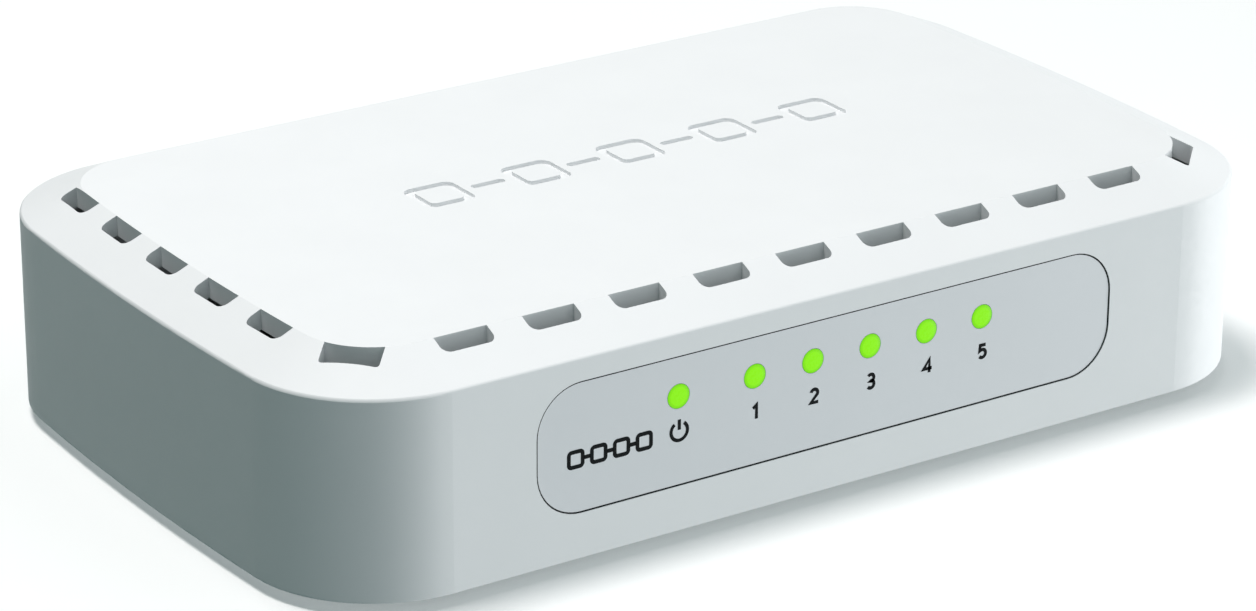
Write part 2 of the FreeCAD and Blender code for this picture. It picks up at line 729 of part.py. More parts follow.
# ---------------------------------------------------------------- base plate
def bottom_cover():
    body = new_body("bottom_cover", ("0", "0", "foot_height"))
    plan = sketch_on(body, "plate_plan")
    case_outline(plan, "wall", "plate_gap")
    pad(body, "plate", plan, "plate_thickness")
    posts = sketch_on(body, "post_plan", at=("0", POST_MIDDLE_Y, "plate_thickness/2"))
    four_circles(posts, POST_X, POST_Y, "post_diameter")
    pad(body, "posts", posts, "plate_thickness/2+post_height")
    for side, x in (("right", "prop_x"), ("left", "-prop_x")):
        prop = sketch_on(body, f"prop_plan_{side}", at=(x, PROP_Y, "plate_thickness/2"))
        circle(prop, "prop_diameter")
        pad(body, f"prop_{side}", prop, "plate_thickness/2+post_height")
    top = "plate_thickness+post_height"
    pilots = sketch_on(body, "post_pilot_plan", at=("0", POST_MIDDLE_Y, top))
    four_circles(pilots, POST_X, POST_Y, SCREW_HOLE)
    pocket(body, "post_pilots", pilots, "board_screw_length-board_thickness+screw_gap")

    holes = sketch_on(body, "screw_hole_plan")
    four_circles(holes, BOSS_X, BOSS_Y, SCREW_HOLE)
    pocket(body, "screw_holes", holes, upwards=True)
    sinks = sketch_on(body, "head_recess_plan")
    four_circles(sinks, BOSS_X, BOSS_Y, "head_diameter+2*head_gap")
    pocket(body, "head_recesses", sinks, "head_height", upwards=True)
    feet = sketch_on(body, "foot_recess_plan")
    four_circles(feet, FOOT_X, FOOT_Y, "foot_diameter+2*foot_gap")
    pocket(body, "foot_recesses", feet, "foot_recess", upwards=True)
    rating = sketch_on(body, "rating_recess_plan", at=("0", "rating_y", "0"))
    rounded_rectangle(rating, "rating_width", "rating_depth", "rating_round")
    pocket(body, "rating_recess", rating, "rating_recess", upwards=True)

    first_x = "-(base_vent_count-1)/2*base_vent_pitch"
    slot_plan = sketch_on(body, "base_vent_plan", at=(first_x, "base_vent_y", "0"), turn="90")
    obround(slot_plan, "base_vent_length-base_vent_width", "base_vent_width")
    slot = pocket(body, "base_vent", slot_plan, upwards=True)
    row_of(body, "base_vents", slot, "X_Axis", "(base_vent_count-1)*base_vent_pitch", "base_vent_count")
    for side, x in (("right", KEYHOLE_X), ("left", f"-{KEYHOLE_X}")):
        entry = sketch_on(body, f"keyhole_entry_{side}", at=(x, "-keyhole_travel/2", "0"))
        circle(entry, "keyhole_head")
        pocket(body, f"keyhole_head_{side}", entry, upwards=True)
        throat = sketch_on(body, f"keyhole_throat_{side}", at=(x, "0", "0"), turn="90")
        obround(throat, "keyhole_travel", "keyhole_slot")
        pocket(body, f"keyhole_slot_{side}", throat, upwards=True)
    node(body, "bottom_cover")


def feet():
    worn = "foot_diameter-2*foot_taper"
    height = "foot_height+foot_recess"
    for name, x, y in (
        ("foot_front_left", f"-{FOOT_X}", f"-{FOOT_Y}"), ("foot_front_right", FOOT_X, f"-{FOOT_Y}"),
        ("foot_rear_left", f"-{FOOT_X}", FOOT_Y), ("foot_rear_right", FOOT_X, FOOT_Y),
    ):
        node(taper(name + "_blank", worn, "foot_diameter", height, (x, y, "0")), name)


def screw(name, length):
    """A flat-headed screw with a crossed drive: its shank goes up from z = 0, its head down."""
    shank = rod(name + "_shank", "screw_diameter", f"{length}-tip_length", ("0", "0", "0"))
    tip_at = ("0", "0", f"{length}-tip_length")
    tip = taper(name + "_tip", "screw_diameter", "tip_diameter", "tip_length", tip_at)
    head = rod(name + "_head", "head_diameter", "head_height", ("0", "0", "-head_height"))
    whole = fuse(name + "_blank", shank, tip, head)
    face = ("0", "0", "-head_height")
    slot_a = block(name + "_slot_a", ("drive_size", "drive_width", "drive_depth"), face)
    slot_b = block(name + "_slot_b", ("drive_width", "drive_size", "drive_depth"), face)
    return cut(name, whole, slot_a, slot_b)


def screws():
    case_screw = screw("case_screw", "case_screw_length")
    places = corners(BOSS_X, BOSS_Y, "foot_height+head_height")
    node(copies("case_screw_group", case_screw, places), "case_screws")
    board_screw = screw("board_screw", "board_screw_length")
    turned = doc.addObject("Part::Mirroring", "board_screw_down")
    turned.Source = board_screw
    turned.Normal = ABOUT_Z
    places = corners(POST_X, POST_Y, BOARD_TOP, POST_MIDDLE_Y)
    node(copies("board_screw_group", turned, places), "board_screws")


def labels():
    front = new_body("front_label", ("0", f"-{LABEL_FACE}+label_thickness", "foot_height+label_z"))
    plan = sketch_on(front, "front_label_plan", "XZ_Plane")
    rounded_rectangle(plan, "label_width-2*label_gap", "label_height-2*label_gap", "label_round-label_gap")
    pad(front, "front_label_sheet", plan, "label_thickness")
    for number, x in enumerate(lamp_places()):
        window = sketch_on(front, f"lamp_window_plan_{number}", "XZ_Plane", (x, "lamp_z-label_z", "0"))
        circle(window, "lamp_diameter+2*lamp_gap")
        pocket(front, f"lamp_window_{number}", window, upwards=True)
    node(front, "front_label")

    rating = new_body("rating_label", ("0", "rating_y", "foot_height+rating_recess-rating_thickness"))
    plan = sketch_on(rating, "rating_label_plan")
    shrink = "2*rating_gap"
    rounded_rectangle(plan, f"rating_width-{shrink}", f"rating_depth-{shrink}", "rating_round-rating_gap")
    pad(rating, "rating_label_sheet", plan, "rating_thickness")
    node(rating, "rating_label")


# ---------------------------------------------------------------- light guide and lamps
def light_guide():
    """Six clear arms on one bridge: each takes light up from its lamp, turns it and ends in the label."""
    led_top = f"({BOARD_TOP}+led_height)"
    arms = []
    run = f"{LABEL_FACE}+{LED_ROW}"
    rise = f"{LAMP_LEVEL}+lamp_diameter/2-{led_top}-guide_gap"
    size = ("lamp_diameter", "lamp_diameter", rise)
    for number, x in enumerate(lamp_places()):
        face = (x, f"-{LABEL_FACE}", LAMP_LEVEL)
        arms.append(rod(f"guide_run_{number}", "lamp_diameter", run, face, along_y=True))
        arms.append(block(f"guide_rise_{number}", size, (x, LED_ROW, f"{led_top}+guide_gap")))
    last_x = f"(port_lamp_x+{SIZES['port_count'] - 1}*lamp_pitch)"
    span = f"{last_x}-power_lamp_x+2*bridge_overhang"
    middle = f"(power_lamp_x+{last_x})/2"
    at = (middle, f"-{INNER_FRONT}+bridge_depth/2", f"{LAMP_LEVEL}-bridge_height/2")
    arms.append(block("guide_bridge", (span, "bridge_depth", "bridge_height"), at))
    whole = fuse("guide_blank", *arms)
    # the 45 degree faces that turn the light forward
    mirror = doc.addObject("Part::Box", "guide_mirror")
    mirror.Placement = FreeCAD.Placement(VECTOR(), FreeCAD.Rotation(ABOUT_X, 45))
    bind(mirror, "Length", span)
    bind(mirror, "Width", "2*lamp_diameter")
    bind(mirror, "Height", "4*lamp_diameter")
    slide = "lamp_diameter*sqrt(2)"
    place(mirror, (
        f"{middle}-({span})/2",
        f"{LED_ROW}+lamp_diameter/2+{slide}",
        f"{LAMP_LEVEL}-lamp_diameter/2+mirror_step-{slide}",
    ))
    node(cut("guide", whole, mirror), "light_guide")


def lamps():
    names = ["power_led"] + [f"port_led_{number + 1}" for number in range(SIZES["port_count"])]
    for name, x in zip(names, lamp_places()):
        base = block(name + "_base", ("led_width", "led_depth", "led_height/2"), (x, LED_ROW, BOARD_TOP))
        top = (x, LED_ROW, f"{BOARD_TOP}+led_height/2")
        lens = taper(name + "_lens", "led_lens_base", "led_lens_top", "led_height/2", top)
        node(fuse(name + "_whole", base, lens), name)


# ---------------------------------------------------------------- board
def circuit_board():
    body = new_body("circuit_board", ("0", BOARD_Y, BOARD_UNDER))
    plan = sketch_on(body, "board_plan")
    rounded_rectangle(plan, BOARD_WIDTH, BOARD_DEPTH, "board_corner")
    pad(body, "board", plan, "board_thickness")
    holes = sketch_on(body, "board_hole_plan", at=("0", f"{POST_MIDDLE_Y}-{BOARD_Y}", "0"))
    four_circles(holes, POST_X, POST_Y, "screw_diameter+2*board_hole_gap")
    pocket(body, "board_holes", holes, upwards=True)
    node(body, "circuit_board")


def leaded_chip(name, kind, x, y, four_sides=False):
    """A moulded chip body with a row of leads on two or four sides; kind begins its sizes' names."""
    width, depth, height = f"{kind}_width", f"{kind}_depth", f"{kind}_height"
    body = block(name + "_case", (width, depth, f"{height}-chip_lift"), (x, y, f"{BOARD_TOP}+chip_lift"))
    pieces = [body]
    middle = (SIZES[f"{kind}_leads"] - 1) / 2
    for number in range(SIZES[f"{kind}_leads"]):
        along = f"({number - middle})*{kind}_lead_pitch"
        size = ("lead_width", f"{depth}+2*lead_reach", "lead_thickness")
        pieces.append(block(f"{name}_lead_{number}", size, (f"{x}+{along}", y, BOARD_TOP)))
        if four_sides:
            size = (f"{width}+2*lead_reach", "lead_width", "lead_thickness")
            pieces.append(block(f"{name}_side_lead_{number}", size, (x, f"{y}+{along}", BOARD_TOP)))
    return node(fuse(name + "_whole", *pieces), name)


def chips():
    leaded_chip("switch_chip", "chip", "chip_x", "chip_y", four_sides=True)
    pad_at = ("chip_x", "chip_y", f"{BOARD_TOP}+chip_height")
    node(block("pad_sheet", ("pad_size", "pad_size", "pad_thickness"), pad_at), "thermal_pad")
    sink_level = f"{BOARD_TOP}+chip_height+pad_thickness"
    sink_at = ("chip_x", "chip_y", sink_level)
    pieces = [block("sink_plate", ("sink_size", "sink_size", "sink_base"), sink_at)]
    for number in range(SIZES["sink_fins"]):
        across = f"(sink_size-sink_fin)*({number}/(sink_fins-1)-0.5)"
        size = ("sink_fin", "sink_size", "sink_height")
        pieces.append(block(f"sink_fin_{number}", size, (f"chip_x+{across}", "chip_y", sink_level)))
    node(fuse("sink", *pieces), "heat_sink")
    shield_rear = f"{REAR_FACE}-2*(shield_thickness+shield_gap)-port_depth"
    row = f"({shield_rear}-module_gap-lead_reach-module_depth/2)"
    for number, x in enumerate(port_places(), 1):
        leaded_chip(f"magnetics_{number}", "module", x, row)
    leaded_chip("flash_chip", "small_chip", *FLASH_PLACE)
    leaded_chip("regulator_chip", "small_chip", *REGULATOR_PLACE)


def on_board(x, y):
    return (x, y, BOARD_TOP)


def small_parts():
    size = ("crystal_length", "crystal_width", "crystal_height")
    can = block("crystal_can", size, on_board(*CRYSTAL_PLACE))
    node(soften_uprights("crystal_rounded", can, "crystal_round", "Part::Fillet"), "crystal")

    shell = block("coil_shell", ("coil_size", "coil_size", "coil_height"), on_board(*COIL_PLACE))
    shell = soften_uprights("coil_bevelled", shell, "coil_bevel", "Part::Chamfer")
    eye_at = (*COIL_PLACE, f"{BOARD_TOP}+coil_height-coil_core_step")
    eye = rod("coil_eye", "coil_core", "coil_core_step", eye_at)
    node(cut("coil", shell, eye), "inductor")

    foot = block("can_foot", ("can_base", "can_base", "can_base_height"), ("0", "0", "0"))
    drum = rod("can_drum", "can_diameter", "can_height", ("0", "0", "0"))
    can = fuse("can_whole", foot, drum)
    node(copies("can_group", can, [on_board(*spot) for spot in CAN_PLACES]), "electrolytic_capacitors")

    size = ("fuse_length", "fuse_width", "fuse_height")
    node(block("fuse_body", size, on_board(*FUSE_PLACE)), "input_fuse")
    size = ("diode_length", "diode_width", "diode_height")
    node(block("diode_body", size, on_board(*DIODE_PLACE)), "protection_diode")

    x, y, pitch, count = RESISTOR_ROW
    size = ("chip_part_length", "chip_part_width", "resistor_height")
    chip = block("resistor_body", size, ("0", "0", "0"))
    spots = [on_board(f"{x}+{number * pitch}", y) for number in range(count)]
    node(copies("resistor_group", chip, spots), "chip_resistors")
    size = ("chip_part_length", "chip_part_width", "capacitor_height")
    chip = block("capacitor_body", size, ("0", "0", "0"))
    spots = []
    for x, y, pitch, count in CAPACITOR_ROWS:
        spots += [on_board(f"{x}+{number * pitch}", y) for number in range(count)]
    node(copies("capacitor_group", chip, spots), "ceramic_capacitors")


# ---------------------------------------------------------------- network ports
def ports():
    block_face = f"({REAR_FACE}-shield_thickness-shield_gap)"
    block_y = f"{block_face}-port_depth/2"
    body = block("port_block", (PORT_BLOCK, "port_depth", "port_height"), ("port_x", block_y, BOARD_TOP))
    cavity_y = f"{block_face}-cavity_depth/2+overrun"
    deep = "cavity_depth+2*overrun"
    main_at = ("0", cavity_y, f"{PORT_CEILING}-cavity_height")
    main = block("cavity_main", ("cavity_width", deep, "cavity_height"), main_at)
    latch_at = ("0", cavity_y, f"{PORT_CEILING}-cavity_height-latch_height")
    latch = block("cavity_latch", ("latch_width", deep, "2*latch_height"), latch_at)
    tongue_at = ("0", cavity_y, f"{latch_at[2]}-tongue_height")
    tongue = block("cavity_tongue", ("tongue_width", deep, "2*tongue_height"), tongue_at)
    comb_y = f"{block_face}-(comb_start+cavity_depth)/2"
    comb_at = ("0", comb_y, f"{PORT_CEILING}-comb_recess")
    comb = block("cavity_comb", ("comb_width", "cavity_depth-comb_start", "2*comb_recess"), comb_at)
    cavity = fuse("cavity", main, latch, tongue, comb)
    cavities = copies("cavities", cavity, [(x, "0", "0") for x in port_places()])
    node(cut("port_block_cut", body, cavities), "port_housing")

    room = (f"{PORT_BLOCK}+2*shield_gap", "port_depth+2*shield_gap", "port_height+shield_gap+overrun")
    inner = block("shield_inner", room, ("port_x", block_y, f"{BOARD_TOP}-overrun"))
    sheet_width = f"{PORT_BLOCK}+2*(shield_gap+shield_thickness)"
    sheet_depth = "port_depth+2*(shield_gap+shield_thickness)"
    sheet = (sheet_width, sheet_depth, "port_height+shield_gap+shield_thickness")
    outer = block("shield_outer", sheet, ("port_x", block_y, BOARD_TOP))
    opening_height = "(cavity_height+latch_height+tongue_height+2*shield_window_gap)"
    opening = ("shield_window_width", "shield_thickness+2*overrun", opening_height)
    opening_bottom = f"{PORT_CEILING}-{opening_height}+shield_window_gap"
    opening_at = ("0", f"{REAR_FACE}-shield_thickness/2", opening_bottom)
    window = block("shield_window", opening, opening_at)
    windows = copies("shield_windows", window, [(x, "0", "0") for x in port_places()])
    node(cut("shield", outer, inner, windows), "port_shield")

    wire = contact_wire(block_face)
    middle = (SIZES["wire_count"] - 1) / 2
    offsets = [f"({number - middle})*wire_pitch" for number in range(SIZES["wire_count"])]
    for number, x in enumerate(port_places(), 1):
        spots = [(f"{x}+{offset}", "0", "0") for offset in offsets]
        node(copies(f"contact_comb_{number}", wire, spots), f"port_contacts_{number}")


def contact_wire(block_face):
    """A spring wire: a run under the ceiling, a bend near the mouth, a beam sloping back down."""
    recess_top = f"({PORT_CEILING}+comb_recess)"
    bend_y = f"({block_face}-wire_bend_x)"
    bend_z = f"({recess_top}-comb_recess)"
    run = block("wire_run", ("wire_width", "cavity_depth-wire_bend_x", "wire_thickness"),
                ("0", f"{block_face}-(cavity_depth+wire_bend_x)/2", f"{recess_top}-wire_thickness"))
    bend = doc.addObject("Part::Cylinder", "wire_bend")
    bend.Placement = FreeCAD.Placement(VECTOR(), FreeCAD.Rotation(VECTOR(0, 1, 0), 90))
    bind(bend, "Radius", "comb_recess")
    bind(bend, "Height", "wire_width")
    place(bend, ("-wire_width/2", bend_y, bend_z))
    beam = doc.addObject("Part::Box", "wire_beam_bar")
    beam.Placement = FreeCAD.Placement(VECTOR(), FreeCAD.Rotation(ABOUT_X, 180 + SIZES["wire_slope"]))
    bind(beam, "Length", "wire_width")
    bind(beam, "Width", "wire_beam")
    bind(beam, "Height", "wire_thickness")
    inset = "(comb_recess-wire_thickness)"
    place(beam, (
        "-wire_width/2",
        f"{bend_y}+{inset}*sin(wire_slope)",
        f"{bend_z}-{inset}*cos(wire_slope)",
    ))
    return fuse("contact_wire", run, bend, beam)


# ---------------------------------------------------------------- power inlet
def power_inlet():
    axis = f"({BOARD_TOP}+jack_axis_z)"
    body = block("jack_block", ("jack_width", "jack_depth", "jack_height"),
                 (JACK_X, f"{REAR_FACE}-jack_depth/2", BOARD_TOP))
    bore_end = (JACK_X, f"{REAR_FACE}-jack_bore_depth", axis)
    bore = rod("jack_bore_tool", "jack_bore", "jack_bore_depth+overrun", bore_end, along_y=True)
    lip = doc.addObject("Part::Cone", "jack_lip_tool")
    lip.Placement = FreeCAD.Placement(VECTOR(), FreeCAD.Rotation(ABOUT_X, -90))
    bind(lip, "Radius1", "jack_bore/2")
    bind(lip, "Radius2", "jack_bore/2+jack_lip")
    bind(lip, "Height", "jack_lip")
    place(lip, (JACK_X, f"{REAR_FACE}-jack_lip", axis))
    step_y = f"{REAR_FACE}-jack_depth+(jack_step_length-overrun)/2"
    step = block("jack_step_tool", ("jack_width+2*overrun", "jack_step_length+overrun", "jack_step+overrun"),
                 (JACK_X, step_y, f"{BOARD_TOP}+jack_height-jack_step"))
    groove_floor = f"({axis}-jack_bore/2-leaf_groove)"
    leaf_at = (JACK_X, f"{REAR_FACE}-jack_bore_depth+leaf_length/2", groove_floor)
    groove = block("jack_groove_tool", ("leaf_width+2*leaf_gap", "leaf_length", "jack_bore/2"), leaf_at)
    node(cut("jack_cut", body, bore, lip, step, groove), "inlet_housing")

    pin_length = "jack_bore_depth-jack_pin_setback-pin_nose"
    shank = rod("pin_shank", "jack_pin", pin_length, bore_end, along_y=True)
    nose = doc.addObject("Part::Cone", "pin_nose")
    nose.Placement = FreeCAD.Placement(VECTOR(), FreeCAD.Rotation(ABOUT_X, -90))
    bind(nose, "Radius1", "jack_pin/2")
    bind(nose, "Radius2", "jack_pin/2-pin_nose")
    bind(nose, "Height", "pin_nose")
    place(nose, (JACK_X, f"{REAR_FACE}-jack_pin_setback-pin_nose", axis))
    node(fuse("pin_whole", shank, nose), "inlet_pin")

    strip = block("leaf_strip", ("leaf_width", "leaf_length", "leaf_thickness"), leaf_at)
    bump = block("leaf_bump", ("leaf_bump_width", "leaf_bump_length", "leaf_bump_height"), leaf_at)
    node(fuse("leaf", strip, bump), "inlet_spring")


top_cover()
bottom_cover()
feet()
screws()
labels()
light_guide()
lamps()
circuit_board()
chips()
small_parts()
ports()
power_inlet()
doc.recompute()

for item in doc.Objects:
    if "Invalid" in item.State or "Error" in item.State:
        raise RuntimeError(f"{item.Name} ({item.Label}) failed: {item.State}")
for item in NODES:
    if item.Shape.isNull() or not item.Shape.isValid() or not item.Shape.Solids:
        raise RuntimeError(f"{item.Label} has no valid shape")
for item in NODES:
    item.Shape.exportStep(f"parts/{item.Label}.step")
print(len(NODES), "nodes written")
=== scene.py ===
import json
import math
import bpy
from mathutils import Matrix, Vector


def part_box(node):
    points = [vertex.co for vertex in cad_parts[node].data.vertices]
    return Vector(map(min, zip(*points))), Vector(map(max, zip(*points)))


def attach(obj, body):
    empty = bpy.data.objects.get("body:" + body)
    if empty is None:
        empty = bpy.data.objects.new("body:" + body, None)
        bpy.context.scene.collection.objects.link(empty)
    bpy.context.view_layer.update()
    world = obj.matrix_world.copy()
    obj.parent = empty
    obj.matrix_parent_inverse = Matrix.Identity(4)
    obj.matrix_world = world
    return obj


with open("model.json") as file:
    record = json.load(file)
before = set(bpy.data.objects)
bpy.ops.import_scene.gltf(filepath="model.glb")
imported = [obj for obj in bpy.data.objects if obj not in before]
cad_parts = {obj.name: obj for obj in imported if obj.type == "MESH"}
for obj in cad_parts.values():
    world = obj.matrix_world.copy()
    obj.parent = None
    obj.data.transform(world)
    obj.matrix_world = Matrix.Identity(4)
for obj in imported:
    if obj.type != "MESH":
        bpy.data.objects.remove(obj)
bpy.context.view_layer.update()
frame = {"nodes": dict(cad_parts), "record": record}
MM = 0.001
NODES = frame["nodes"]

# The label on the front face and the lamps in it, in metres
LABEL_LOW, LABEL_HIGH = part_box("front_label")
LABEL_ROUND = 5.06 * MM
LABEL_GAP = 0.14 * MM
LAMP_RADIUS = 1.3 * MM
LAMP_Z = 15.82 * MM
LENS_DOME = 0.05 * MM

# Printing: how far ink stands off its label, in metres, and its places and sizes in millimetres
INK = 0.012 * MM
FIGURE_X = (-9.53, -2.38, 4.70, 11.84, 18.90)
FIGURE_Z = 11.93
FIGURE_HEIGHT = 1.52
LEGEND_STROKE = 0.38
POWER_MARK = (-18.77, 12.05)
POWER_MARK_RADIUS = 0.98
CHAIN_START = (-30.93, 11.98)
CHAIN_PITCH = 2.67
CHAIN_COUNT = 4
CHAIN_HALF = 0.80
CHAIN_ROUND = 0.32
CHAIN_STROKE = 0.44


# ---------------------------------------------------------------- materials
def new_material(name):
    """A material with its node tree and its shader."""
    material = bpy.data.materials.new(name)
    material.use_nodes = True
    tree = material.node_tree
    return material, tree, tree.nodes["Principled BSDF"]


def noise(tree, size, detail=3.0, stretch=(1.0, 1.0, 1.0)):
    """Noise with features of one size, in millimetres, in the part's own frame."""
    place = tree.nodes.new("ShaderNodeTexCoord")
    scale = tree.nodes.new("ShaderNodeMapping")
    scale.inputs["Scale"].default_value = stretch
    texture = tree.nodes.new("ShaderNodeTexNoise")
    texture.inputs["Scale"].default_value = 1 / (size * MM)
    texture.inputs["Detail"].default_value = detail
    tree.links.new(place.outputs["Object"], scale.inputs["Vector"])
    tree.links.new(scale.outputs["Vector"], texture.inputs["Vector"])
    return texture.outputs["Fac"]


def ramp(tree, value, low, high, start=0.3, end=0.7):
    """Colours between low and high as the value goes from start to end."""
    node = tree.nodes.new("ShaderNodeValToRGB")
    node.color_ramp.elements[0].position = start
    node.color_ramp.elements[1].position = end
    node.color_ramp.elements[0].color = (*low, 1)
    node.color_ramp.elements[1].color = (*high, 1)
    tree.links.new(value, node.inputs["Fac"])
    return node.outputs["Color"]


def between(tree, value, low, high):
    """A number between low and high as the value goes from 0.3 to 0.7."""
    node = tree.nodes.new("ShaderNodeMapRange")
    node.inputs["From Min"].default_value = 0.3
    node.inputs["From Max"].default_value = 0.7
    node.inputs["To Min"].default_value = low
    node.inputs["To Max"].default_value = high
    tree.links.new(value, node.inputs["Value"])
    return node.outputs["Result"]


def bump(tree, shader, height, depth):
    """Surface relief of a depth in millimetres."""
    node = tree.nodes.new("ShaderNodeBump")
    node.inputs["Distance"].default_value = depth * MM
    node.inputs["Strength"].default_value = 1.0
    tree.links.new(height, node.inputs["Height"])
    tree.links.new(node.outputs["Normal"], shader.inputs["Normal"])


def shade(colour, change):
    """A colour made lighter or darker by a share."""
    return tuple(max(0.0, min(1.0, part * (1 + change))) for part in colour)


def plastic(name, colour, rough=(0.42, 0.52), grain=0.18, depth=0.004, variation=0.02, patch=9.0,
            gloss=0.5):
    """Moulded plastic: spark-eroded grain, slight patches of colour, gloss that varies a little."""
    material, tree, shader = new_material(name)
    shader.inputs["Specular IOR Level"].default_value = gloss
    patches = noise(tree, patch)
    tree.links.new(ramp(tree, patches, shade(colour, -variation), shade(colour, variation)),
                   shader.inputs["Base Color"])
    tree.links.new(between(tree, noise(tree, grain * 5), *rough), shader.inputs["Roughness"])
    bump(tree, shader, noise(tree, grain, 2.0), depth)
    return material


def metal(name, colour, rough=(0.22, 0.4), brushed=(1.0, 1.0, 1.0), grain=0.25, depth=0.003):
    """Bare or plated metal with fine marks."""
    material, tree, shader = new_material(name)
    shader.inputs["Metallic"].default_value = 1.0
    tree.links.new(ramp(tree, noise(tree, 3.0), shade(colour, -0.08), shade(colour, 0.06)),
                   shader.inputs["Base Color"])
    marks = noise(tree, grain, 4.0, brushed)
    tree.links.new(between(tree, marks, *rough), shader.inputs["Roughness"])
    bump(tree, shader, marks, depth)
    return material


def guide_material():
    """Clear moulded acrylic, faintly tinted by the lamps."""
    material, tree, shader = new_material("guide_clear")
    tree.links.new(ramp(tree, noise(tree, 2.0), (0.70, 0.80, 0.66), (0.80, 0.86, 0.76)),
                   shader.inputs["Base Color"])
    shader.inputs["Transmission Weight"].default_value = 0.6
    shader.inputs["IOR"].default_value = 1.49
    tree.links.new(between(tree, noise(tree, 0.8), 0.12, 0.22), shader.inputs["Roughness"])
    return material


def lens_material():
    """The lit end of one guide arm: green, a little deeper towards its rim."""
    material, tree, shader = new_material("lamp_lit")
    place = tree.nodes.new("ShaderNodeTexCoord")
    reach = tree.nodes.new("ShaderNodeVectorMath")
    reach.operation = "LENGTH"
    tree.links.new(place.outputs["Object"], reach.inputs[0])
    spread = tree.nodes.new("ShaderNodeMapRange")
    spread.inputs["From Max"].default_value = LAMP_RADIUS
    tree.links.new(reach.outputs["Value"], spread.inputs["Value"])
    green = ramp(tree, spread.outputs["Result"], (0.27, 0.90, 0.004), (0.17, 0.68, 0.004), 0.70, 1.0)
    tree.links.new(green, shader.inputs["Emission Color"])
    shader.inputs["Emission Strength"].default_value = 0.92
    shader.inputs["Specular IOR Level"].default_value = 0.12
    tree.links.new(ramp(tree, noise(tree, 0.4), (0.02, 0.07, 0.004), (0.03, 0.09, 0.006)),
                   shader.inputs["Base Color"])
    tree.links.new(between(tree, noise(tree, 0.3), 0.22, 0.34), shader.inputs["Roughness"])
    return material


def board_material():
    """Green solder mask over faint copper runs."""
    material, tree, shader = new_material("solder_mask")
    place = tree.nodes.new("ShaderNodeTexCoord")
    runs = tree.nodes.new("ShaderNodeTexBrick")
    runs.inputs["Scale"].default_value = 1 / (9 * MM)
    runs.inputs["Mortar Size"].default_value = 0.05
    runs.inputs["Color1"].default_value = (0.010, 0.115, 0.045, 1)
    runs.inputs["Color2"].default_value = (0.014, 0.135, 0.052, 1)
    runs.inputs["Mortar"].default_value = (0.05, 0.22, 0.08, 1)
    tree.links.new(place.outputs["Object"], runs.inputs["Vector"])
    tree.links.new(runs.outputs["Color"], shader.inputs["Base Color"])
    tree.links.new(between(tree, noise(tree, 1.5), 0.28, 0.4), shader.inputs["Roughness"])
    bump(tree, shader, runs.outputs["Fac"], 0.02)
    return material


def paper_material():
    """Coated paper of the rating label."""
    material, tree, shader = new_material("rating_paper")
    fibres = noise(tree, 0.3, 5.0, (1.0, 3.0, 1.0))
    tree.links.new(ramp(tree, fibres, (0.74, 0.75, 0.75), (0.80, 0.81, 0.81)),
                   shader.inputs["Base Color"])
    tree.links.new(between(tree, fibres, 0.5, 0.65), shader.inputs["Roughness"])
    bump(tree, shader, fibres, 0.004)
    return material


